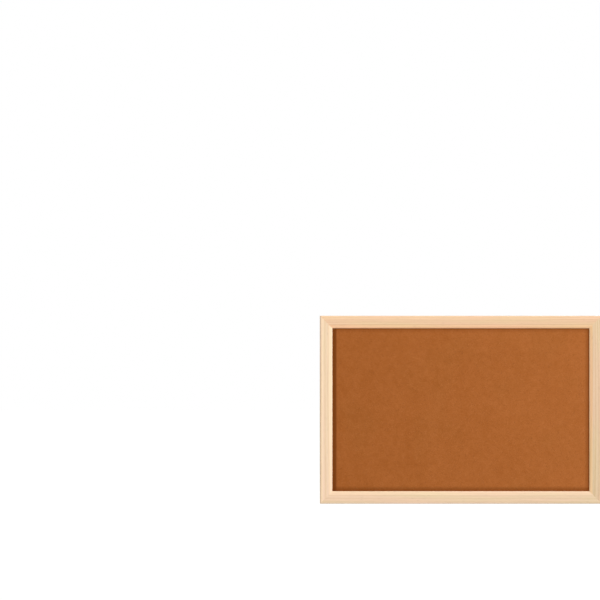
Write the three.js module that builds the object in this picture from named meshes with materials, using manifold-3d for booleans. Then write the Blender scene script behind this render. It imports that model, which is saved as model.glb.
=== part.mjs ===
// Cork pin board in a mitred pine frame, hung on a wall by two swinging rings.
// Millimetres. +Z is up, the cork faces -Y, and the wall is on the +Y side.
// The origin is midway between the rings, in the plane of the frame's back, at the height where the
// wall's hooks bear in them.

import * as THREE from "three";
import { mergeVertices } from "three/addons/utils/BufferGeometryUtils.js";
import Module from "manifold-3d";

const wasm = await Module();
wasm.setup();

// Whole board
const boardWidth = 450;
const boardHeight = 300;
const hooksBelowTop = 40; // from the frame's top edge down to the height where the hooks bear

// Panel stack, from the front: cork glued to a soft fibre core, then a hardboard back
const corkThickness = 2;
const coreThickness = 5.5;
const backThickness = 2.5;
const panelClearance = 0.5; // between the stack's edges and the rebate wall
const backRecess = 3; // how far the hardboard sits in from the frame's back

// Pine moulding, seen in section
const mouldingWidth = 20; // outer edge to inner edge
const lipThickness = 4; // wood in front of the cork, at the crown
const rebateCover = 5.5; // how far the lip reaches over the panel
const outerRound = 2.5; // radius of the outer front arris
const faceFallWidth = 8; // the face starts to fall this far from the inner edge
const faceFall = 1.5; // how much lower the face is at the lip
const lipRound = 1.2; // rounding of the lip's inner arris
const backEase = 0.5; // chamfer on the outer back arris
const fallControlShare = 0.62; // of the falling width, where the fall's curve turns

// V-nails across each mitre, driven in from the back
const vNailLeg = 4.6;
const vNailThickness = 0.4;
const vNailBend = 0.9; // radius at the bend, to the middle of the strip
const vNailDepth = 8;
const vNailSunk = 0.3;
const vNailPlaceShares = { outer: 0.25, inner: 0.66 }; // of the back face's width, in from the outer edges

// Framer's points, flat steel blades driven into the rebate wall behind the panel
const pointLength = 15;
const pointWidth = 6.5;
const pointThickness = 0.4;
const pointDriven = 7; // length inside the wood
const pointTaper = 4; // length of the sharpened end
const pointCorner = 0.8; // rounding of the free end's corners
const pointsAcross = 3; // on the top and bottom rails
const pointsUpright = 2; // on the side rails

// Ring hangers on the side rails: a folded strap, a ring bent from wire, and one screw
const ringWire = 2;
const ringSideGap = 0.8; // strap edge to ring leg
const ringLeg = 3.6; // from the bar to the start of the arch
const ringBend = 1.6; // bend radius at the bar's two corners, to the wire's middle
const ringButtGap = 0.4; // the wire's two ends nearly meet inside the strap's loop
const ringRestGap = 0.3; // arch to wood, as the ring leans on the rail
const strapWidth = 8;
const strapThickness = 0.8;
const strapPlyGap = 0.2; // between the strap's two plies
const strapJogRadius = 1.2; // bend under the loop, to the middle of the sheet
const loopClearance = 0.2; // between the ring's bar and the loop
const screwBelowBar = 9;
const strapHoleClearance = 0.3; // on the screw's radius

// Pan-head wood screw with a cross recess
const screwShank = 2.6;
const screwLength = 10.5; // under the head
const screwTip = 3;
const screwHead = 5.5;
const screwHeadHeight = 1.7;
const screwHeadEdge = 0.5; // upright rim under the dome
const recessAcross = 3;
const recessWing = 0.7;
const recessDepth = 1.1;
const recessFootShare = 0.35; // width at the recess's foot, of its width at the top
const domeShare = 0.8; // of the head's height, where the dome's curve leaves the rim

// Room around what is driven into the wood, and the overrun of a cut past a face
const driveClearance = 0.1;
const overrun = 1;

// Facets
const arcSteps = 6;
const roundSides = 32;
const wireSides = 16;
const ringSteps = 76;

// Sizes that follow
const rebateDepth = backRecess + backThickness + coreThickness + corkThickness;
const mouldingDepth = rebateDepth + lipThickness;
const backFace = mouldingWidth - rebateCover;
const panelWidth = boardWidth - 2 * (backFace + panelClearance);
const panelHeight = boardHeight - 2 * (backFace + panelClearance);
const centreHeight = hooksBelowTop - boardHeight / 2;
const quarterTurn = Math.PI / 2;

const wireRadius = ringWire / 2;
const archRadius = strapWidth / 2 + ringSideGap + wireRadius;
const ringReach = ringLeg + archRadius;
const loopRadius = wireRadius + loopClearance + strapThickness / 2;
const barOffset = loopRadius + strapThickness / 2;
const strapStack = 2 * strapThickness + strapPlyGap;
const ringLean = Math.asin((barOffset - wireRadius - ringRestGap) / ringReach);
const barHeight = -(ringReach - wireRadius) * Math.cos(ringLean);
const hangerAside = boardWidth / 2 - backFace / 2;

// Materials
const pine = new THREE.MeshStandardMaterial({ color: 0xebcba8, roughness: 0.55, metalness: 0 });
const cork = new THREE.MeshStandardMaterial({ color: 0xaa632f, roughness: 0.95, metalness: 0 });
const softboard = new THREE.MeshStandardMaterial({ color: 0x9c8a6c, roughness: 0.95, metalness: 0 });
const hardboard = new THREE.MeshStandardMaterial({ color: 0x8a6240, roughness: 0.8, metalness: 0 });
const steel = new THREE.MeshStandardMaterial({ color: 0x9a9c9f, roughness: 0.4, metalness: 0.9 });
const zinc = new THREE.MeshStandardMaterial({ color: 0xc3c5c9, roughness: 0.3, metalness: 0.95 });

// A geometry as a closed solid, moved by a matrix.
function solidOf(geometry, matrix = new THREE.Matrix4()) {
  const bare = new THREE.BufferGeometry();
  const flat = geometry.index ? geometry.toNonIndexed() : geometry;
  bare.setAttribute("position", flat.getAttribute("position").clone());
  bare.applyMatrix4(matrix);
  const merged = mergeVertices(bare);
  return new wasm.Manifold(
    new wasm.Mesh({
      numProp: 3,
      vertProperties: merged.attributes.position.array,
      triVerts: new Uint32Array(merged.index.array),
    }),
  );
}

// A closed solid as a geometry with flat faces.
function geometryOf(solid) {
  const mesh = solid.getMesh();
  const geometry = new THREE.BufferGeometry();
  geometry.setAttribute("position", new THREE.BufferAttribute(mesh.vertProperties, mesh.numProp));
  geometry.setIndex(new THREE.BufferAttribute(mesh.triVerts, 1));
  const flat = geometry.toNonIndexed();
  flat.computeVertexNormals();
  return flat;
}

// The geometry less each tool, all in the same coordinates.
function subtract(geometry, tools) {
  return geometryOf(tools.reduce((solid, tool) => solid.subtract(solidOf(tool)), solidOf(geometry)));
}

// What a geometry and a tool share.
function intersect(geometry, tool) {
  return geometryOf(solidOf(geometry).intersect(solidOf(tool)));
}

// A shape drawn with its x along Y and its y along Z, extruded along X and centred on it.
function extrudeAlongX(shape, length, segments = arcSteps) {
  const geometry = new THREE.ExtrudeGeometry(shape, {
    depth: length,
    bevelEnabled: false,
    curveSegments: segments,
  });
  geometry.translate(0, 0, -length / 2);
  const axes = [new THREE.Vector3(0, 1, 0), new THREE.Vector3(0, 0, 1), new THREE.Vector3(1, 0, 0)];
  return geometry.applyMatrix4(new THREE.Matrix4().makeBasis(...axes));
}

// A shape drawn with its x along X and its y along Z, extruded from y = near to y = far.
function extrudeAlongY(shape, near, far, segments = arcSteps) {
  const geometry = new THREE.ExtrudeGeometry(shape, {
    depth: far - near,
    bevelEnabled: false,
    curveSegments: segments,
  });
  geometry.rotateX(quarterTurn);
  return geometry.translate(0, far, 0);
}

// The outline of bent sheet metal, from a function that draws the bent line at an offset from its middle.
function sheetOutline(side, thickness, segments = arcSteps) {
  const outer = side(thickness / 2).getPoints(segments);
  const inner = side(-thickness / 2).getPoints(segments);
  return new THREE.Shape([...outer, ...inner.reverse()]);
}

// One length of moulding along X, outer edge up, mitred at both ends.
// The section is drawn from the distance to the outer edge and the height above the back.
function mitredRail(length) {
  const section = new THREE.Shape();
  const slopeAtLip = faceFall / (faceFallWidth * fallControlShare - lipRound);
  const lipTop = mouldingDepth - faceFall;
  section.moveTo(backEase, 0);
  section.lineTo(backFace, 0);
  section.lineTo(backFace, rebateDepth);
  section.lineTo(mouldingWidth, rebateDepth);
  section.lineTo(mouldingWidth, lipTop - lipRound);
  section.quadraticCurveTo(mouldingWidth, lipTop - lipRound * slopeAtLip, mouldingWidth - lipRound, lipTop);
  const turn = mouldingWidth - faceFallWidth * fallControlShare;
  section.quadraticCurveTo(turn, mouldingDepth, mouldingWidth - faceFallWidth, mouldingDepth);
  section.lineTo(outerRound, mouldingDepth);
  section.absarc(outerRound, mouldingDepth - outerRound, outerRound, quarterTurn, Math.PI, false);
  section.lineTo(0, backEase);

  const outline = section.getPoints(arcSteps).map((p) => new THREE.Vector2(-p.y, -p.x));
  const rail = extrudeAlongX(new THREE.Shape(outline), length);
  const position = rail.attributes.position;
  for (let i = 0; i < position.count; i++) {
    position.setX(i, Math.sign(position.getX(i)) * (length / 2 + position.getZ(i)));
  }
  return rail;
}

// V-nail, bend towards the frame's outer corner and a leg along each rail, its top at y = 0.
// Grown by a clearance, it is the cut that it sits in.
function vNail(clearance) {
  const leg = vNailLeg + clearance;
  const side = (offset) => {
    const path = new THREE.Path();
    path.moveTo(leg, offset);
    path.lineTo(vNailBend, offset);
    path.absarc(vNailBend, -vNailBend, vNailBend + offset, quarterTurn, Math.PI, false);
    path.lineTo(-offset, -leg);
    return path;
  };
  const outline = sheetOutline(side, vNailThickness + 2 * clearance);
  const top = clearance > 0 ? vNailSunk + overrun : 0;
  return extrudeAlongY(outline, -vNailDepth - clearance, top);
}

// Framer's point lying flat, sharpened end towards +Z in the wood, its underside at y = 0.
// Grown by a clearance, it is the cut that it sits in.
function framerPoint(clearance) {
  const half = pointWidth / 2 + clearance;
  const tip = pointDriven + clearance;
  const tail = pointDriven - pointLength;
  const outline = new THREE.Shape();
  outline.moveTo(0, tip);
  outline.lineTo(-half, tip - pointTaper);
  outline.lineTo(-half, tail + pointCorner);
  outline.quadraticCurveTo(-half, tail, -half + pointCorner, tail);
  outline.lineTo(half - pointCorner, tail);
  outline.quadraticCurveTo(half, tail, half, tail + pointCorner);
  outline.lineTo(half, tip - pointTaper);
  outline.closePath();
  return extrudeAlongY(outline, -clearance, pointThickness + clearance);
}

// Hanger strap: sheet metal folded round the ring's bar, both plies held by the screw.
// Its own origin is on the wood, behind the bar.
function hangerStrap() {
  const innerPly = strapThickness / 2;
  const outerPly = strapStack - strapThickness / 2;
  const reach = loopRadius + strapJogRadius;
  const jogCosine = (outerPly + strapJogRadius - barOffset) / reach;
  const jog = Math.acos(jogCosine);
  const end = -screwBelowBar - strapWidth / 2 - overrun;
  const side = (offset) => {
    const path = new THREE.Path();
    path.moveTo(innerPly - offset, end);
    path.lineTo(innerPly - offset, 0);
    path.absarc(barOffset, 0, loopRadius + offset, Math.PI, -jog, true);
    path.absarc(
      barOffset + reach * jogCosine,
      -reach * Math.sin(jog),
      strapJogRadius - offset,
      Math.PI - jog,
      Math.PI,
      false,
    );
    path.lineTo(outerPly + offset, end);
    return path;
  };
  const folded = extrudeAlongX(sheetOutline(side, strapThickness, 2 * arcSteps), strapWidth);

  const plan = new THREE.Shape();
  const above = barOffset + overrun;
  const past = strapWidth / 2 + overrun;
  plan.moveTo(past, above);
  plan.lineTo(-past, above);
  plan.lineTo(-past, -screwBelowBar);
  plan.lineTo(-strapWidth / 2, -screwBelowBar);
  plan.absarc(0, -screwBelowBar, strapWidth / 2, Math.PI, 2 * Math.PI, false);
  plan.lineTo(past, -screwBelowBar);
  plan.closePath();
  const through = 2 * barOffset + overrun;
  const rounded = intersect(folded, extrudeAlongY(plan, -overrun, through, 2 * arcSteps));

  const holeRadius = screwShank / 2 + strapHoleClearance;
  const hole = new THREE.CylinderGeometry(holeRadius, holeRadius, 2 * through, roundSides);
  hole.translate(0, 0, -screwBelowBar);
  return subtract(rounded, [hole]);
}

// The ring's wire, from the middle of the bar round the arch and back, standing in the XZ plane.
function hangerRing() {
  const wire = new THREE.CurvePath();
  const corner = archRadius - ringBend;
  const at = (x, z) => new THREE.Vector3(x, 0, z);
  const bend = (middleX, middleZ, radius, from, to) => {
    const arc = new THREE.Curve();
    arc.getPoint = (t, target = new THREE.Vector3()) => {
      const angle = from + (to - from) * t;
      return target.set(middleX + radius * Math.cos(angle), 0, middleZ + radius * Math.sin(angle));
    };
    return arc;
  };
  wire.add(new THREE.LineCurve3(at(ringButtGap / 2, 0), at(corner, 0)));
  wire.add(bend(corner, ringBend, ringBend, -quarterTurn, 0));
  wire.add(new THREE.LineCurve3(at(archRadius, ringBend), at(archRadius, ringLeg)));
  wire.add(bend(0, ringLeg, archRadius, 0, Math.PI));
  wire.add(new THREE.LineCurve3(at(-archRadius, ringLeg), at(-archRadius, ringBend)));
  wire.add(bend(-corner, ringBend, ringBend, Math.PI, 3 * quarterTurn));
  wire.add(new THREE.LineCurve3(at(-corner, 0), at(-ringButtGap / 2, 0)));
  const section = new THREE.Shape();
  section.absarc(0, 0, wireRadius, 0, 2 * Math.PI, false);
  return new THREE.ExtrudeGeometry(section, {
    steps: ringSteps,
    extrudePath: wire,
    curveSegments: wireSides / 2,
    bevelEnabled: false,
  });
}

// Pan-head screw along Y, its head outside at y > 0 and seated at y = 0.
function hangerScrew() {
  const profile = new THREE.Path();
  const rim = screwHead / 2;
  profile.moveTo(0, -screwLength);
  profile.lineTo(screwShank / 2, screwTip - screwLength);
  profile.lineTo(screwShank / 2, 0);
  profile.lineTo(rim, 0);
  profile.lineTo(rim, screwHeadEdge);
  profile.bezierCurveTo(rim, screwHeadHeight * domeShare, rim / 2, screwHeadHeight, 0, screwHeadHeight);
  const body = new THREE.LatheGeometry(profile.getPoints(arcSteps), roundSides);

  const wing = new THREE.Shape();
  const foot = screwHeadHeight - recessDepth;
  wing.moveTo(-recessAcross / 2, screwHeadHeight + overrun);
  wing.lineTo(-recessAcross / 2, screwHeadHeight);
  wing.lineTo((-recessAcross / 2) * recessFootShare, foot);
  wing.lineTo((recessAcross / 2) * recessFootShare, foot);
  wing.lineTo(recessAcross / 2, screwHeadHeight);
  wing.lineTo(recessAcross / 2, screwHeadHeight + overrun);
  wing.closePath();
  const blade = new THREE.ExtrudeGeometry(wing, { depth: recessWing, bevelEnabled: false });
  blade.translate(0, 0, -recessWing / 2);
  return subtract(body, [blade, blade.clone().rotateY(quarterTurn)]);
}

// The cut in the wood that a screw is driven into.
function pilotHole() {
  const radius = screwShank / 2 + driveClearance;
  const depth = screwLength + driveClearance;
  const hole = new THREE.CylinderGeometry(radius, radius, depth + overrun, roundSides);
  return hole.translate(0, (overrun - depth) / 2, 0);
}

const part = new THREE.Group();
const board = new THREE.Group();
board.position.z = centreHeight;
part.add(board);
const rails = [];
const driven = []; // each fastener with the cut that it sits in

function place(parent, name, geometry, material, x = 0, y = 0, z = 0) {
  const mesh = new THREE.Mesh(geometry, material);
  mesh.name = name;
  mesh.position.set(x, y, z);
  parent.add(mesh);
  return mesh;
}

// The panel's three sheets, each behind the last.
function addPanel() {
  let front = -rebateDepth;
  for (const [name, thickness, material] of [
    ["cork_sheet", corkThickness, cork],
    ["core_board", coreThickness, softboard],
    ["back_panel", backThickness, hardboard],
  ]) {
    const sheet = new THREE.BoxGeometry(panelWidth, thickness, panelHeight);
    place(board, name, sheet, material, 0, front + thickness / 2);
    front += thickness;
  }
}

// One side of the frame, a number of quarter turns from the top, with the V-nails of the corner at its
// left end, seen from the front with this side up, and its framer's points.
function addSide(name, turns, length, reach, points, corner) {
  const side = new THREE.Group();
  side.rotation.y = turns * quarterTurn;
  board.add(side);
  rails.push(place(side, `rail_${name}`, mitredRail(length), pine, 0, 0, reach));

  for (const [which, share] of Object.entries(vNailPlaceShares)) {
    const inset = backFace * share;
    const label = `v_nail_${corner}_${which}`;
    const nail = place(side, label, vNail(0), steel, inset - length / 2, -vNailSunk, reach - inset);
    driven.push({ fastener: nail, cut: vNail(driveClearance) });
  }

  const pitch = (length - 2 * mouldingWidth) / points;
  for (let i = 0; i < points; i++) {
    const along = (i - (points - 1) / 2) * pitch;
    const label = `framer_point_${name}_${i + 1}`;
    const point = place(side, label, framerPoint(0), steel, along, -backRecess, reach - backFace);
    driven.push({ fastener: point, cut: framerPoint(driveClearance) });
  }
}

// A hanger, its ring up and leaning on the rail, as it is when the board hangs.
function addHanger(name, aside) {
  const hanger = new THREE.Group();
  hanger.position.set(aside, 0, barHeight);
  part.add(hanger);
  place(hanger, `hanger_strap_${name}`, hangerStrap(), zinc);
  const ring = place(hanger, `hanger_ring_${name}`, hangerRing(), zinc, 0, barOffset);
  ring.rotation.x = ringLean;
  const screw = place(hanger, `hanger_screw_${name}`, hangerScrew(), zinc, 0, strapStack, -screwBelowBar);
  driven.push({ fastener: screw, cut: pilotHole() });
}

// Whatever is driven into the rails cuts its own place in them.
function cutRails() {
  part.updateMatrixWorld(true);
  for (const rail of rails) {
    const toRail = rail.matrixWorld.clone().invert();
    let solid = solidOf(rail.geometry);
    for (const { fastener, cut } of driven) {
      solid = solid.subtract(solidOf(cut, toRail.clone().multiply(fastener.matrixWorld)));
    }
    rail.geometry = geometryOf(solid);
  }
}

addPanel();
addSide("top", 0, boardWidth, boardHeight / 2, pointsAcross, "top_left");
addSide("right", 1, boardHeight, boardWidth / 2, pointsUpright, "top_right");
addSide("bottom", 2, boardWidth, boardHeight / 2, pointsAcross, "bottom_right");
addSide("left", 3, boardHeight, boardWidth / 2, pointsUpright, "bottom_left");
addHanger("left", -hangerAside);
addHanger("right", hangerAside);
cutRails();

export default part;
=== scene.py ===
# Cork pin board: a mitred pine frame round a cork-faced panel, hung on a wall by two swinging rings.
# Metres. +Z is up, the cork faces -Y, and the wall is on the +Y side.

import math

import bmesh
import bpy
from mathutils import Color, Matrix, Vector, noise


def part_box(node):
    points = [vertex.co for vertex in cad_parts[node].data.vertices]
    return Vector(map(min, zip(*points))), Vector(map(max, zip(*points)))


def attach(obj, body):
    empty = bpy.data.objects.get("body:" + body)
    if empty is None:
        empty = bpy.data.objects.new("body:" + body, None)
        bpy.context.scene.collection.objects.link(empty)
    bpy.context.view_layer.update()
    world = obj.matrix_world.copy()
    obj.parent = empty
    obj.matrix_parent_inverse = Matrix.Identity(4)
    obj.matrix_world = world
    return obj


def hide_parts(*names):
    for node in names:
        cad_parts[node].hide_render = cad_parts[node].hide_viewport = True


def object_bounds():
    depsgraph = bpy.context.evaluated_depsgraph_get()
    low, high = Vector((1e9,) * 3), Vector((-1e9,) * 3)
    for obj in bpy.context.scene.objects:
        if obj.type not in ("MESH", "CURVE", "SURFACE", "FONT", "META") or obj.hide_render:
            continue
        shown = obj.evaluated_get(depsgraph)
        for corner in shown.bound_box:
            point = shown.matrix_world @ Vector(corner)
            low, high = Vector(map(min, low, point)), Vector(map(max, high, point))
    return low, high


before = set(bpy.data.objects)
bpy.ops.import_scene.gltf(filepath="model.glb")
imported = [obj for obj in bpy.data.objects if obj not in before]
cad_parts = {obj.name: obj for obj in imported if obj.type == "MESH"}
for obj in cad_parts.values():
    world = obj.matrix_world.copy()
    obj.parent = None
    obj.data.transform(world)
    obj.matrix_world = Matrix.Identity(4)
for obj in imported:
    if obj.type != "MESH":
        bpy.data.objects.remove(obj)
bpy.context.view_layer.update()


# Pine frame. Four lengths of one moulding, planed from clear pine and rebated behind for the panel.
# Each is cut at 45 degrees at both ends and glued there, then the whole frame is sanded and waxed.

MM = 0.001

# Edges past the sharp turn get a fine round, and facets that meet within the flat turn are one face.
RAIL_ARRIS = 0.14 * MM
ARRIS_STEPS = 2
SHARP_TURN = math.radians(34)
FLAT_TURN = math.radians(0.3)
SAME_POINT = 0.0005 * MM
CUT_MARGIN = 0.3 * MM

# A wave texture repeats at this pitch when its scale is 1.
WAVE_PITCH = 0.1 * math.pi

# The yearly rings lie round a pith outside the rail. They lean, stretch and wander along it.
RING_PITCH = 3.6 * MM
RING_LEAN = math.radians(0.45)
RING_STRETCH = 0.06
RING_WANDER = 6.0
RING_WANDER_SCALE = 0.5
RING_WANDER_DETAIL = 2.0

# Through one year's ring: the share of its width, and how much of the wood there is dark late wood.
YEAR_SHARES = ((0.0, 0.0), (0.45, 0.18), (0.86, 1.0), (1.0, 0.15))

# Fibres, resin ducts and patches of hue, by their size along the grain, across it and in depth.
FIBRE = (45 * MM, 0.9 * MM, 0.9 * MM)
FIBRE_TONES = (0.955, 1.035)
FIBRE_ROUGHNESS = (0.5, 0.62)
DUCT = (9 * MM, 0.55 * MM, 0.55 * MM)
DUCT_MARKS = (0.66, 0.8)
DUCT_TONES = (1.0, 0.88)
HUE_PATCH = (150 * MM, 15 * MM, 60 * MM)
HUE_MARKS = (0.38, 0.62)
ROSY_WASH = (255, 250, 246)
GOLDEN_WASH = (252, 254, 243)
PINE_RELIEF = 0.05 * MM
PINE_RELIEF_STRENGTH = 0.6
LATE_WOOD_RELIEF = 0.4

# The moulding's inner bead and outer edge get painted highlights, which fade over the second width.
BEAD_HIGHLIGHT_WIDTH = 4.2 * MM
BEAD_HIGHLIGHT_FADE = 1.6 * MM
OUTER_HIGHLIGHT_WIDTH = 4.5 * MM
OUTER_HIGHLIGHT_FADE = 2.5 * MM

# What is particular to each rail: its early and late wood, partly its own tone and partly painted light, the
# pith's place beside it, the painted highlight tint of its inner bead, the painted highlight tone of its
# outer edge, and its tone at its low or left end and at the other end, which is painted light and shade.
RAIL_WOOD = {
    "top": {
        "early": (239, 204, 171),
        "late": (228, 188, 151),
        "pith": (0.7, 0.031, 0.047),
        "bead_highlight": (1.13, 1.05, 0.97),
        "outer": 1.07,
        "ends": (1.05, 0.94),
    },
    "right": {
        "early": (227, 199, 169),
        "late": (215, 184, 148),
        "pith": (1.9, -0.171, 0.060),
        "bead_highlight": (1.24, 1.12, 1.0),
        "outer": 1.0,
        "ends": (0.96, 1.02),
    },
    "bottom": {
        "early": (244, 215, 187),
        "late": (235, 205, 171),
        "pith": (3.1, 0.305, 0.052),
        "bead_highlight": (1.08, 1.08, 1.08),
        "outer": 1.0,
        "ends": (1.01, 0.9),
    },
    "left": {
        "early": (248, 219, 192),
        "late": (239, 208, 174),
        "pith": (4.3, 0.262, 0.066),
        "bead_highlight": (1.08, 1.08, 1.08),
        "outer": 1.13,
        "ends": (1.0, 1.0),
    },
}

# Soft noise is spread between these marks: the wide ones for grain, the close ones for clear patches.
NOISE_MARKS = (0.3, 0.7)
PATCH_MARKS = (0.35, 0.65)
NONE_TO_ALL = (0.0, 1.0)
ALL_TO_NONE = (1.0, 0.0)

# A mix node's sockets for colours, which share their names with its sockets for numbers.
MIX_FACTOR = 0
MIX_FIRST = 6
MIX_SECOND = 7
MIX_RESULT = 2

opening_low = Vector((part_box("rail_left")[1].x, 0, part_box("rail_bottom")[1].z))
opening_high = Vector((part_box("rail_right")[0].x, 0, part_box("rail_top")[0].z))
rail_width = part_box("rail_right")[1].x - opening_high.x


def paint(colour):
    """A colour given as 0 to 255 on screen, as the linear colour that a shader takes."""
    on_screen = Color([channel / 255 for channel in colour])
    return (*on_screen.from_srgb_to_scene_linear(), 1.0)


def new_finish(name, gloss, roughness=0.5, metal=0.0):
    """An empty finish: the material, its tree and its shader."""
    material = bpy.data.materials.new(name)
    material.use_nodes = True
    tree = material.node_tree
    shader = tree.nodes["Principled BSDF"]
    shader.inputs["Specular IOR Level"].default_value = gloss
    shader.inputs["Roughness"].default_value = roughness
    shader.inputs["Metallic"].default_value = metal
    return material, tree, shader


def layer(tree, kind, inputs=None, **settings):
    """One more node in a finish. Each input is a value or another node's output."""
    node = tree.nodes.new("ShaderNode" + kind)
    for key, value in settings.items():
        setattr(node, key, value)
    for key, value in (inputs or {}).items():
        if isinstance(value, bpy.types.NodeSocket):
            tree.links.new(value, node.inputs[key])
        else:
            node.inputs[key].default_value = value
    return node


def reckoned(tree, first, operation, second):
    """The sum, difference or product of two values, or the larger of them."""
    return layer(tree, "Math", {0: first, 1: second}, operation=operation).outputs["Value"]


def remapped(tree, value, marks, ends):
    """A value between two marks, spread from one end to the other and held there beyond the marks."""
    low, high = marks
    first, last = ends
    inputs = {"Value": value, "From Min": low, "From Max": high, "To Min": first, "To Max": last}
    return layer(tree, "MapRange", inputs).outputs["Result"]


def blended(tree, factor, first, second, way="MIX"):
    """Two colours blended by a factor, and held to what a real surface can reflect."""
    inputs = {MIX_FACTOR: factor, MIX_FIRST: first, MIX_SECOND: second}
    mix = layer(tree, "Mix", inputs, data_type="RGBA", blend_type=way, clamp_result=True)
    return mix.outputs[MIX_RESULT]


def toned(tree, colour, tone):
    """A colour made lighter or darker by a tone that varies round 1."""
    return blended(tree, 1.0, colour, tone, "MULTIPLY")


def speckle(tree, place, sizes, detail=2.0, offset=(0, 0, 0)):
    """Soft noise from 0 to 1 whose features have these three sizes."""
    scale = [1 / size for size in sizes]
    stretched = layer(tree, "Mapping", {"Vector": place, "Location": offset, "Scale": scale})
    inputs = {"Vector": stretched.outputs["Vector"], "Scale": 1.0, "Detail": detail, "Roughness": 0.5}
    return layer(tree, "TexNoise", inputs).outputs["Fac"]


def raised(tree, shader, height, depth, strength=1.0):
    """Fine relief on a finish, this deep where the height goes from 0 to 1."""
    bump = layer(tree, "Bump", {"Height": height, "Distance": depth, "Strength": strength})
    tree.links.new(bump.outputs["Normal"], shader.inputs["Normal"])


def meshed(form, name):
    """A form that is done, as a mesh."""
    mesh = bpy.data.meshes.new(name)
    form.to_mesh(mesh)
    form.free()
    return mesh


def placed(name, data):
    """A mesh, lamp or camera as an object in the scene."""
    piece = bpy.data.objects.new(name, data)
    bpy.context.scene.collection.objects.link(piece)
    return piece


def inside(face, boxes):
    """Whether a face lies wholly in one of these boxes, or just outside it."""
    for low, high in boxes:
        near = [low[i] - CUT_MARGIN <= v.co[i] <= high[i] + CUT_MARGIN for v in face.verts for i in range(3)]
        if all(near):
            return True
    return False


def eased_copy(node, name, arris, crisp=()):
    """A CAD piece's own shape, with whole faces and its sharp edges eased by a fine round.
    The edges of the cuts in the crisp boxes stay sharp."""
    form = bmesh.new()
    form.from_mesh(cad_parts[node].data)
    bmesh.ops.remove_doubles(form, verts=form.verts, dist=SAME_POINT)
    bmesh.ops.dissolve_limit(form, angle_limit=FLAT_TURN, verts=form.verts, edges=form.edges)
    bmesh.ops.connect_verts_concave(form, faces=form.faces)
    cut_faces = {face for face in form.faces if inside(face, crisp)}
    eased = form.edges.layers.float.new("bevel_weight_edge")
    for edge in form.edges:
        if edge.calc_face_angle(0) > SHARP_TURN:
            edge.smooth = cut_faces.isdisjoint(edge.link_faces)
            edge[eased] = float(edge.smooth)
    for face in form.faces:
        face.smooth = True
    mesh = meshed(form, name)
    mesh.attributes.remove(mesh.attributes["custom_normal"])
    mesh.materials.clear()
    piece = placed(name, mesh)
    easing = piece.modifiers.new("Eased edges", "BEVEL")
    easing.limit_method = "WEIGHT"
    easing.width = arris
    easing.segments = ARRIS_STEPS
    easing.harden_normals = True
    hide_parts(node)
    return piece


def fitted(piece, material, body):
    """Gives a piece its finish, the body that it rides on and the slot of its finish."""
    piece.data.materials.append(material)
    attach(piece, body)


def late_wood_in(tree, along, pith):
    """How much of the wood at a place is late wood, from 0 to 1, in rings round the log's pith."""
    log = {"Vector": along, "Location": pith, "Rotation": (0, RING_LEAN, RING_LEAN)}
    log["Scale"] = (RING_STRETCH, 1, 1)
    rings = {
        "Vector": layer(tree, "Mapping", log).outputs["Vector"],
        "Scale": WAVE_PITCH / RING_PITCH,
        "Distortion": RING_WANDER,
        "Detail": RING_WANDER_DETAIL,
        "Detail Scale": RING_WANDER_SCALE,
    }
    wave = layer(tree, "TexWave", rings, wave_type="RINGS", rings_direction="X", wave_profile="SAW")
    year = layer(tree, "ValToRGB", {"Fac": wave.outputs["Fac"]})
    stops = year.color_ramp.elements
    for share, _ in YEAR_SHARES[1:-1]:
        stops.new(share)
    for stop, (_, late) in zip(stops, YEAR_SHARES):
        stop.color = (late, late, late, 1)
    return year.outputs["Color"]


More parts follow.
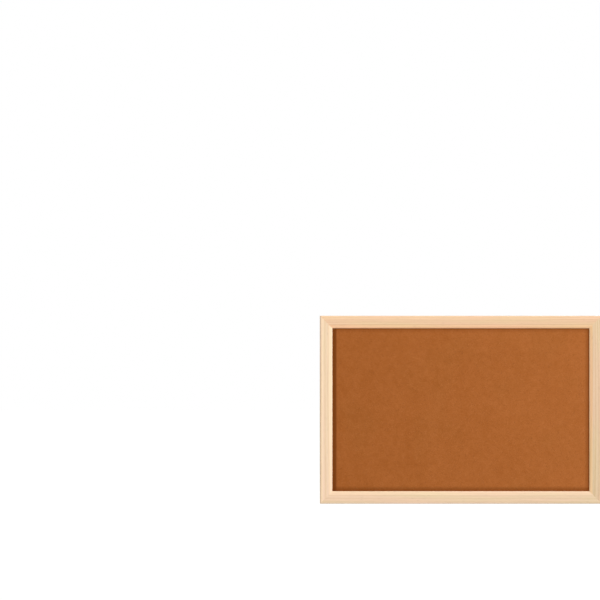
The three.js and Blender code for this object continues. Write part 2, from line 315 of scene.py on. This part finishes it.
def pine_finish(side, grain, across, inner_edge, outward):
    """Waxed pine for one rail. Its grain lies along one axis. Across it, on another, are its inner edge
    and the way outward from there."""
    look = RAIL_WOOD[side]
    rail_ends = [corner["XYZ".index(grain)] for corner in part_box(f"rail_{side}")]
    material, tree, shader = new_finish(f"waxed_pine_{side}", gloss=0.28)
    axes = layer(tree, "SeparateXYZ", {"Vector": layer(tree, "TexCoord").outputs["Object"]}).outputs
    in_grain = {"X": axes[grain], "Y": axes[across], "Z": axes["Y"]}
    along = layer(tree, "CombineXYZ", in_grain).outputs["Vector"]

    late_wood = late_wood_in(tree, along, look["pith"])
    fibre = speckle(tree, along, FIBRE, detail=3.0)
    duct = speckle(tree, along, DUCT, detail=0.0, offset=look["pith"])
    hue = speckle(tree, along, HUE_PATCH, offset=look["pith"])

    # Each rail's early and late wood is partly its own tone and partly painted light: the left and bottom
    # rails are lighter, the top and right rails darker.
    wood = blended(tree, late_wood, paint(look["early"]), paint(look["late"]))
    # Painted light and shade: each rail a little lighter or darker from one end to the other.
    wood = toned(tree, wood, remapped(tree, axes[grain], rail_ends, look["ends"]))
    wash = blended(tree, remapped(tree, hue, HUE_MARKS, NONE_TO_ALL), paint(ROSY_WASH), paint(GOLDEN_WASH))
    wood = blended(tree, 1.0, wood, wash, "MULTIPLY")
    wood = toned(tree, wood, remapped(tree, fibre, NOISE_MARKS, FIBRE_TONES))
    wood = toned(tree, wood, remapped(tree, duct, DUCT_MARKS, DUCT_TONES))

    # Painted highlights: a lighter band along the inner bead, warmer on the top and right rails, and a
    # lighter outer edge on the left and top rails.
    inset = reckoned(tree, axes[across], "SUBTRACT", inner_edge)
    inset = reckoned(tree, inset, "MULTIPLY", outward)
    on_bead_highlight = remapped(tree, inset, (BEAD_HIGHLIGHT_WIDTH, BEAD_HIGHLIGHT_WIDTH + BEAD_HIGHLIGHT_FADE), ALL_TO_NONE)
    wood = blended(tree, on_bead_highlight, wood, (*look["bead_highlight"], 1.0), "MULTIPLY")
    outer = rail_width - OUTER_HIGHLIGHT_WIDTH
    wood = toned(tree, wood, remapped(tree, inset, (outer - OUTER_HIGHLIGHT_FADE, outer), (1.0, look["outer"])))
    tree.links.new(wood, shader.inputs["Base Color"])
    tree.links.new(remapped(tree, fibre, NOISE_MARKS, FIBRE_ROUGHNESS), shader.inputs["Roughness"])
    height = blended(tree, LATE_WOOD_RELIEF, fibre, late_wood)
    raised(tree, shader, height, PINE_RELIEF, PINE_RELIEF_STRENGTH)
    return material


driven = [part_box(n) for n in sorted(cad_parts) if n.startswith(("v_nail", "framer", "hanger_screw"))]
for side, grain, across, inner_edge, outward in (
    ("top", "X", "Z", opening_high.z, 1),
    ("right", "Z", "X", opening_high.x, 1),
    ("bottom", "X", "Z", opening_low.z, -1),
    ("left", "Z", "X", opening_low.x, -1),
):
    rail = eased_copy(f"rail_{side}", f"pine_rail_{side}", RAIL_ARRIS, driven)
    fitted(rail, pine_finish(side, grain, across, inner_edge, outward), "frame")


# Cork face. A sheet of fine cork granules bound with resin, sliced from a block and sanded flat.
# It is glued to the core, and the frame's lip covers its edges.

# The face in relief: its grid, and how far its granules, their seams and the sheet's sway dip.
# The seam reaches over a share of a granule, and the stride draws each granule a height of its own.
FACE_GRID = 1.25 * MM
GRANULE = 2.4 * MM
GRANULE_DIP = 0.035 * MM
HEIGHT_STRIDE = 9.7
SEAM_DIP = 0.03 * MM
SEAM_REACH_SHARE = 0.35
SWAY_DIP = 0.04 * MM
SWAY_LENGTH = 14 * MM

# The finish in grain: fine and large granules with ragged outlines, dust, and patches of three sizes.
FINE_GRANULE = 0.66 * MM
LARGE_GRANULE = 2.1 * MM
RAGGED_STEP = 0.4 * MM
RAGGED_REACH = 0.45 * MM
SEAM_WIDTH_SHARE = 0.12
DUST = 0.33 * MM
BLOTCH = 8 * MM
PATCH = 32 * MM
TINT_PATCH = 90 * MM
CORK_RELIEF = 0.12 * MM
CORK_RELIEF_STRENGTH = 0.5
DUST_RELIEF_SHARE = 0.5

# The stained cork runs from a dark to a pale brown, and starts midway. The seams darken it, painted light
# and shade makes it darker at the left and lighter at the right, and each of the others moves it both ways
# by its share.
CORK_DARK = (153, 83, 28)
CORK_PALE = (184, 111, 58)
MIDWAY = 0.5
SEAM_SHARE = 0.28
PAINTED_LIGHT_SHARE = 0.08
PATCH_SHARE = 0.056
BLOTCH_SHARE = 0.065
LARGE_SHARE = 0.056
FINE_SHARE = 0.17
DUST_SHARE = 0.095
REDDER_TINT = (1.02, 1.0, 1.0, 1.0)
DULLER_TINT = (0.98, 1.0, 1.0, 1.0)

# A few granules, by the draw from 0 to 1 that each has of its own, are dark or pale flecks.
DARK_FLECK = (138, 77, 36)
DARK_MARKS = (0.962, 0.982)
PALE_FLECK = (186, 116, 62)
PALE_MARKS = (0.018, 0.038)

# The shade under the frame's lip, painted into the cork's colour on each side: its strength, how far in
# it stays so, and where it ends.
# The warm dark brown that the painted shade blends the cork towards.
PAINTED_SHADE_BROWN = (112, 56, 10)
PAINTED_LIP_SHADE = {
    "left": (0.9, 4.7 * MM, 8.0 * MM),
    "bottom": (0.56, 3.2 * MM, 8.2 * MM),
    "right": (0.38, 3.2 * MM, 7.6 * MM),
    "top": (0.25, 3.2 * MM, 7.6 * MM),
}


def cork_dip(x, z):
    """How far a point of the face lies in behind its highest granules."""
    distances, centres = noise.voronoi(Vector((x, z, 0)) / GRANULE)
    own_height = noise.cell(centres[0] * HEIGHT_STRIDE)
    seam = max(0.0, 1 - (distances[1] - distances[0]) / SEAM_REACH_SHARE)
    sway = 0.5 + 0.5 * noise.noise(Vector((x, z, 0)) / SWAY_LENGTH)
    return GRANULE_DIP * abs(own_height) + SEAM_DIP * seam + SWAY_DIP * sway


def cork_face():
    """The sheet, its front a fine grid with the granules in relief and its other sides flat."""
    low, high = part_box("cork_sheet")
    columns = round((high.x - low.x) / FACE_GRID)
    rows = round((high.z - low.z) / FACE_GRID)
    form = bmesh.new()
    grid = []
    for row in range(rows + 1):
        z = low.z + (high.z - low.z) * row / rows
        line = []
        for column in range(columns + 1):
            x = low.x + (high.x - low.x) * column / columns
            line.append(form.verts.new((x, low.y + cork_dip(x, z), z)))
        grid.append(line)
    for below, above in zip(grid, grid[1:]):
        for i in range(columns):
            form.faces.new((below[i], below[i + 1], above[i + 1], above[i])).smooth = True
    rim = grid[0] + [line[-1] for line in grid[1:]] + grid[-1][-2::-1] + [line[0] for line in grid[-2:0:-1]]
    back = [form.verts.new((v.co.x, high.y, v.co.z)) for v in rim]
    for i in range(len(rim)):
        j = (i + 1) % len(rim)
        form.faces.new((rim[j], rim[i], back[i], back[j]))
    form.faces.new(back[::-1])
    piece = placed("cork_face", meshed(form, "cork_face"))
    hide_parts("cork_sheet")
    return piece


def mottle(tree, place, size, detail=2.0):
    """Soft noise from 0 to 1 whose features have one size all ways."""
    return speckle(tree, place, (size,) * 3, detail)


def ragged(tree, place, step, reach):
    """Coordinates shoved about by noise, so that what is drawn in them gets uneven outlines."""
    shove = layer(tree, "TexNoise", {"Vector": place, "Scale": 1 / step, "Detail": 2.0}).outputs["Color"]
    moved = layer(tree, "VectorMath", {0: shove, 1: (reach,) * 3, 2: place}, operation="MULTIPLY_ADD")
    return moved.outputs["Vector"]


def granules(tree, place, size):
    """Granules of one size. Each has draws of its own from 0 to 1, named Red, Green and Blue."""
    cells = layer(tree, "TexVoronoi", {"Vector": place, "Scale": 1 / size})
    return layer(tree, "SeparateColor", {"Color": cells.outputs["Color"]}).outputs


def moved_by(tree, start, *moves):
    """A value with several others added. Each is spread between its marks, over its share either way."""
    total = start
    for value, marks, share in moves:
        total = reckoned(tree, total, "ADD", remapped(tree, value, marks, (-share, share)))
    return total


def painted_lip_shade(tree, axes, brown):
    """The cork's colour with the shade that the frame's lip lays along each side painted into it."""
    from_lip = {
        "left": (axes["X"], opening_low.x),
        "right": (opening_high.x, axes["X"]),
        "bottom": (axes["Z"], opening_low.z),
        "top": (opening_high.z, axes["Z"]),
    }
    for side, (further, nearer) in from_lip.items():
        strength, near, far = PAINTED_LIP_SHADE[side]
        distance = reckoned(tree, further, "SUBTRACT", nearer)
        shade = remapped(tree, distance, (near, far), (strength, 0.0))
        brown = blended(tree, shade, brown, paint(PAINTED_SHADE_BROWN))
    return brown


def cork_finish():
    """Fine stained cork: close granules of nearly one brown, with a few dark and pale flecks."""
    material, tree, shader = new_finish("fine_cork", gloss=0.12, roughness=0.92)
    place = layer(tree, "TexCoord").outputs["Object"]
    axes = layer(tree, "SeparateXYZ", {"Vector": place}).outputs
    uneven = ragged(tree, place, RAGGED_STEP, RAGGED_REACH)
    fine = granules(tree, uneven, FINE_GRANULE)
    large = granules(tree, uneven, LARGE_GRANULE)
    edges = {"Vector": uneven, "Scale": 1 / FINE_GRANULE}
    seams = layer(tree, "TexVoronoi", edges, feature="DISTANCE_TO_EDGE").outputs["Distance"]
    dust = mottle(tree, place, DUST, detail=3.0)

    light = moved_by(
        tree,
        remapped(tree, seams, (0.0, SEAM_WIDTH_SHARE), (MIDWAY - SEAM_SHARE, MIDWAY)),
        # Painted light and shade: the cork darker at the left and lighter at the right.
        (axes["X"], (opening_low.x, opening_high.x), PAINTED_LIGHT_SHARE),
        (mottle(tree, place, PATCH), NOISE_MARKS, PATCH_SHARE),
        (mottle(tree, place, BLOTCH), NOISE_MARKS, BLOTCH_SHARE),
        (large["Red"], NONE_TO_ALL, LARGE_SHARE),
        (fine["Red"], NONE_TO_ALL, FINE_SHARE),
        (dust, NOISE_MARKS, DUST_SHARE),
    )
    brown = blended(tree, light, paint(CORK_DARK), paint(CORK_PALE))
    duller = remapped(tree, mottle(tree, place, TINT_PATCH), PATCH_MARKS, NONE_TO_ALL)
    tint = blended(tree, duller, REDDER_TINT, DULLER_TINT)
    brown = blended(tree, 1.0, brown, tint, "MULTIPLY")
    dark = remapped(tree, fine["Green"], DARK_MARKS, NONE_TO_ALL)
    pale = remapped(tree, fine["Green"], PALE_MARKS, ALL_TO_NONE)
    brown = blended(tree, dark, brown, paint(DARK_FLECK))
    brown = blended(tree, pale, brown, paint(PALE_FLECK))
    # The painted shade along the frame's lip goes on last.
    tree.links.new(painted_lip_shade(tree, axes, brown), shader.inputs["Base Color"])
    height = blended(tree, DUST_RELIEF_SHARE, fine["Blue"], dust)
    raised(tree, shader, height, CORK_RELIEF, CORK_RELIEF_STRENGTH)
    return material


fitted(cork_face(), cork_finish(), "frame")


# Core. Soft fibreboard that takes the pins, pressed from wood pulp and cut to the cork's size.
# The cork is glued to its front, and the hardboard back lies loose behind it.

CORE_EASE = 0.3 * MM
CORE_FIBRE = 1.4 * MM
CORE_FIBRE_TONES = (0.85, 1.12)
CORE_CLUMP = 9 * MM
CORE_DARK = (150, 132, 103)
CORE_PALE = (163, 145, 114)
CORE_RELIEF = 0.3 * MM


def softboard_finish():
    """Dull grey-brown pulp with felted fibres and darker clumps."""
    material, tree, shader = new_finish("pressed_softboard", gloss=0.1, roughness=0.96)
    place = layer(tree, "TexCoord").outputs["Object"]
    felt = mottle(tree, place, CORE_FIBRE, detail=4.0)
    clump = remapped(tree, mottle(tree, place, CORE_CLUMP), PATCH_MARKS, NONE_TO_ALL)
    pulp = blended(tree, clump, paint(CORE_DARK), paint(CORE_PALE))
    pulp = toned(tree, pulp, remapped(tree, felt, NOISE_MARKS, CORE_FIBRE_TONES))
    tree.links.new(pulp, shader.inputs["Base Color"])
    raised(tree, shader, felt, CORE_RELIEF)
    return material


fitted(eased_copy("core_board", "softboard_core", CORE_EASE), softboard_finish(), "frame")


# Back. Thin hardboard with its rough side out, which still has the print of the press's wire screen.
# It lies in the rebate behind the core, held there by the framer's points alone.

BACK_EASE = 0.25 * MM
BACK_PATCH = 35 * MM
BACK_DARK = (136, 97, 63)
BACK_PALE = (142, 101, 66)

# The screen's print: its pitch, how far its wires wander, and how it tones and raises the board.
SCREEN_PITCH = 1.3 * MM
SCREEN_WANDER = 0.15
SCREEN_WANDER_SCALE = 0.3
SCREEN_TONES = (0.9, 1.09)
SCREEN_RELIEF = 0.1 * MM

# The pressed chips, which lie two ways and curl, and how much of the relief is theirs.
CHIP_LENGTH = 3.2 * MM
CHIP_WIDTH = 0.5 * MM
CHIP_CURL = 4 * MM
CHIP_REACH = 6 * MM
CHIP_TONES = (0.82, 1.12)
CROSSING_TONES = (0.9, 1.08)
CHIP_RELIEF_SHARE = 0.2


def screen_print(tree, place):
    """The weave of the press's wire screen, from 0 between its wires to 1 on them."""
    inputs = {
        "Vector": place,
        "Scale": WAVE_PITCH / SCREEN_PITCH,
        "Distortion": SCREEN_WANDER,
        "Detail Scale": SCREEN_WANDER_SCALE,
    }
    warp, weft = (
        layer(tree, "TexWave", inputs, wave_type="BANDS", bands_direction=direction).outputs["Fac"]
        for direction in ("X", "Z")
    )
    return reckoned(tree, warp, "MULTIPLY", weft)


def hardboard_finish():
    """Brown pressed fibre with dark chips and the weave of the screen."""
    material, tree, shader = new_finish("screened_hardboard", gloss=0.2, roughness=0.82)
    place = layer(tree, "TexCoord").outputs["Object"]
    curled = ragged(tree, place, CHIP_CURL, CHIP_REACH)
    chips = speckle(tree, curled, (CHIP_LENGTH, CHIP_WIDTH, CHIP_WIDTH), detail=3.0)
    crossing = speckle(tree, curled, (CHIP_WIDTH, CHIP_WIDTH, CHIP_LENGTH), detail=3.0)
    screen = screen_print(tree, place)
    patch = remapped(tree, mottle(tree, place, BACK_PATCH, detail=3.0), PATCH_MARKS, NONE_TO_ALL)

    brown = blended(tree, patch, paint(BACK_DARK), paint(BACK_PALE))
    brown = toned(tree, brown, remapped(tree, chips, NOISE_MARKS, CHIP_TONES))
    brown = toned(tree, brown, remapped(tree, crossing, NOISE_MARKS, CROSSING_TONES))
    brown = toned(tree, brown, remapped(tree, screen, NONE_TO_ALL, SCREEN_TONES))
    tree.links.new(brown, shader.inputs["Base Color"])
    raised(tree, shader, blended(tree, CHIP_RELIEF_SHARE, screen, chips), SCREEN_RELIEF)
    return material


fitted(eased_copy("back_panel", "hardboard_back", BACK_EASE), hardboard_finish(), "frame")


# V-nails and framer's points. Cold-rolled steel strip: the nails are bent and driven across each mitre,
# the points are flat blades fired into the rebate wall to hold the back in.

STEEL_EASE = 0.05 * MM
STEEL_GREY = (158, 160, 163)
STAINED_GREY = (128, 127, 126)
STAIN = 4 * MM
STAIN_MARKS = (0.45, 0.7)
STAIN_ROUGHNESS_MARKS = (0.4, 0.7)
STAIN_ROUGHNESS = (0.34, 0.52)
DRAWN_LINE = (6 * MM, 0.25 * MM, 0.25 * MM)
DRAWN_TONES = (0.92, 1.06)
STEEL_RELIEF = 0.01 * MM


def steel_finish():
    """Dull rolled steel with fine lines along the strip and a few darker oil stains."""
    material, tree, shader = new_finish("rolled_steel", gloss=0.5, metal=1.0)
    place = layer(tree, "TexCoord").outputs["Object"]
    drawn = speckle(tree, place, DRAWN_LINE)
    stain = mottle(tree, place, STAIN, detail=3.0)
    stained = remapped(tree, stain, STAIN_MARKS, NONE_TO_ALL)
    steel = blended(tree, stained, paint(STEEL_GREY), paint(STAINED_GREY))
    steel = toned(tree, steel, remapped(tree, drawn, NOISE_MARKS, DRAWN_TONES))
    tree.links.new(steel, shader.inputs["Base Color"])
    roughness = remapped(tree, stain, STAIN_ROUGHNESS_MARKS, STAIN_ROUGHNESS)
    tree.links.new(roughness, shader.inputs["Roughness"])
    raised(tree, shader, drawn, STEEL_RELIEF)
    return material


rolled_steel = steel_finish()
for node in sorted(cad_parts):
    if node.startswith(("v_nail", "framer_point")):
        fitted(eased_copy(node, f"steel_{node}", STEEL_EASE), rolled_steel, "frame")


# Ring hangers. A zinc-plated strap folded round the ring's bar and held to the side rail by one screw.
# The ring is bent from wire, its ends meeting inside the fold, and it swings freely.

PLATE_EASE = 0.08 * MM
RECESS_REACH = 1.3 * MM
BLOOMED_ZINC = (188, 192, 198)
CLEAR_ZINC = (206, 207, 205)
BLOOM = 1.6 * MM
BLOOM_ROUGHNESS = (0.24, 0.38)
SCRATCH = (1.44 * MM, 0.12 * MM, 0.12 * MM)
SCRATCH_TONES = (0.95, 1.03)
PLATE_RELIEF = 0.006 * MM


def zinc_finish():
    """Bright zinc plating with a faint bloom and hairline scratches from the barrel."""
    material, tree, shader = new_finish("zinc_plate", gloss=0.5, metal=1.0)
    place = layer(tree, "TexCoord").outputs["Object"]
    bloom = mottle(tree, place, BLOOM, detail=3.0)
    scratch = speckle(tree, place, SCRATCH)
    bloomed = remapped(tree, bloom, PATCH_MARKS, NONE_TO_ALL)
    zinc = blended(tree, bloomed, paint(BLOOMED_ZINC), paint(CLEAR_ZINC))
    zinc = toned(tree, zinc, remapped(tree, scratch, NOISE_MARKS, SCRATCH_TONES))
    tree.links.new(zinc, shader.inputs["Base Color"])
    tree.links.new(remapped(tree, bloom, PATCH_MARKS, BLOOM_ROUGHNESS), shader.inputs["Roughness"])
    raised(tree, shader, scratch, PLATE_RELIEF)
    return material


def recess_box(screw):
    """The room round the cross recess in a screw's head."""
    low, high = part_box(screw)
    middle = Vector(((low.x + high.x) / 2, high.y, (low.z + high.z) / 2))
    reach = Vector((RECESS_REACH,) * 3)
    return middle - reach, middle + reach


zinc_plate = zinc_finish()
for side in ("left", "right"):
    recess = recess_box(f"hanger_screw_{side}")
    for part, body in (("strap", "frame"), ("screw", "frame"), ("ring", f"ring_{side}")):
        piece = eased_copy(f"hanger_{part}_{side}", f"zinc_{part}_{side}", PLATE_EASE, [recess])
        fitted(piece, zinc_plate, body)


# Setting. The board hangs in the air over a pale floor, in soft light from the upper right.
# The floor and the surroundings look white to the eye and light the board evenly.

FLOOR_BELOW = 0.25
FLOOR_REACH = 9.0
FLOOR_TONE = 0.7

# The floor's glow for the eye alone, from near the board to far off, and what lights the board all round.
GLOW_SPAN = (1.0, 3.2)
GLOW = (0.45, 0.71)
ROOM_LIGHT = 0.41

board_low, board_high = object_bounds()
board_middle = (board_low + board_high) / 2


def seen_directly(tree):
    """1 for what the eye sees, straight on, reflected or through glass, and 0 for what lights the board."""
    path = layer(tree, "LightPath").outputs
    seen = reckoned(tree, path["Is Camera Ray"], "MAXIMUM", path["Is Glossy Ray"])
    return reckoned(tree, seen, "MAXIMUM", path["Is Transmission Ray"])


def pale_floor():
    """A matt floor that keeps shadows and looks white away from the board."""
    height = board_low.z - FLOOR_BELOW
    form = bmesh.new()
    corners = ((-1, -1), (1, -1), (1, 1), (-1, 1))
    form.faces.new([form.verts.new((x * FLOOR_REACH, y * FLOOR_REACH, height)) for x, y in corners])
    floor = placed("pale_floor", meshed(form, "pale_floor"))

    material = bpy.data.materials.new("matt_floor")
    material.use_nodes = True
    tree = material.node_tree
    tree.nodes.clear()
    place = layer(tree, "TexCoord").outputs["Object"]
    away = layer(tree, "VectorMath", {0: place}, operation="LENGTH").outputs["Value"]
    glow = reckoned(tree, remapped(tree, away, GLOW_SPAN, GLOW), "MULTIPLY", seen_directly(tree))
    matt = layer(tree, "BsdfDiffuse", {"Color": (FLOOR_TONE, FLOOR_TONE, FLOOR_TONE, 1)})
    light = layer(tree, "Emission", {"Strength": glow})
    both = layer(tree, "AddShader", {0: matt.outputs["BSDF"], 1: light.outputs["Emission"]})
    layer(tree, "OutputMaterial", {"Surface": both.outputs["Shader"]})
    floor.data.materials.append(material)
    return floor


pale_floor()

room = bpy.data.worlds.new("white_room")
room.use_nodes = True
bpy.context.scene.world = room
wall_light = room.node_tree.nodes["Background"]
wall_light.inputs["Color"].default_value = (1, 1, 1, 1)
room_strength = remapped(room.node_tree, seen_directly(room.node_tree), NONE_TO_ALL, (ROOM_LIGHT, 1.0))
room.node_tree.links.new(room_strength, wall_light.inputs["Strength"])


def soft_lamp(name, side, rise, distance, width, power):
    """A square lamp turned to the board, at an angle to the side of its face and above it, in degrees."""
    across, up = math.radians(side), math.radians(rise)
    towards = Vector((math.sin(across) * math.cos(up), -math.cos(across) * math.cos(up), math.sin(up)))
    data = bpy.data.lights.new(name, "AREA")
    data.size = width
    data.energy = power
    lamp = placed(name, data)
    lamp.location = board_middle + towards * distance
    lamp.rotation_euler = (-towards).to_track_quat("-Z", "Y").to_euler()
    lamp.visible_camera = False


soft_lamp("window", side=44, rise=27, distance=4.5, width=1.7, power=133)
soft_lamp("ceiling", side=8, rise=58, distance=4.5, width=1.6, power=30)
soft_lamp("behind", side=158, rise=34, distance=2.6, width=1.2, power=26)

# The camera looks straight ahead, square to the board, and sees it low and to the right.
CAMERA_ASIDE = -0.2567
CAMERA_HEIGHT = 0.0652
CAMERA_AWAY = 3.9875
LENS = 150

eye = bpy.data.cameras.new("eye")
eye.lens = LENS
camera = placed("eye", eye)
camera.location = (CAMERA_ASIDE, board_low.y - CAMERA_AWAY, CAMERA_HEIGHT)
camera.rotation_euler = (math.radians(90), 0, 0)
bpy.context.scene.camera = camera
bpy.context.scene.view_settings.view_transform = "Standard"
